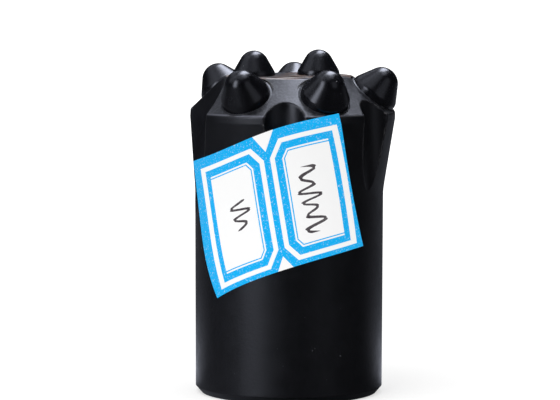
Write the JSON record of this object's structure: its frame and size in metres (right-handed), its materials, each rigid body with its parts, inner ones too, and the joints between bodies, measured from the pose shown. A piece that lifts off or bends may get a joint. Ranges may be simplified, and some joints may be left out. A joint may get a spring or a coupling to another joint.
{
  "type": "button drill bit",
  "caption": "Tapered button drill bit for rock drilling: steel head and short skirt with a tapered socket, milled grooves, domed carbide buttons and a wrapped paper size label.",
  "frame": {"origin": "centre of the skirt's end face, on the bit's axis", "axes": "+Z along the bit's axis to the cutting face; -Y through the middle button of the front three gauge buttons; +X to the right seen from the front"},
  "size_m": [0.0336, 0.0351, 0.0564],
  "materials": {
    "body_paint": "satin black paint over steel",
    "button_paint": "gloss black paint over carbide",
    "label_paper": "white paper printed with blue frames"
  },
  "bodies": {
    "root": {"bit_body": "body_paint", "gauge_button_1": "button_paint", "gauge_button_2": "button_paint", "gauge_button_3": "button_paint", "gauge_button_4": "button_paint", "gauge_button_5": "button_paint", "face_button_1": "button_paint", "face_button_2": "button_paint", "size_label": "label_paper"}
  },
  "joints": []
}
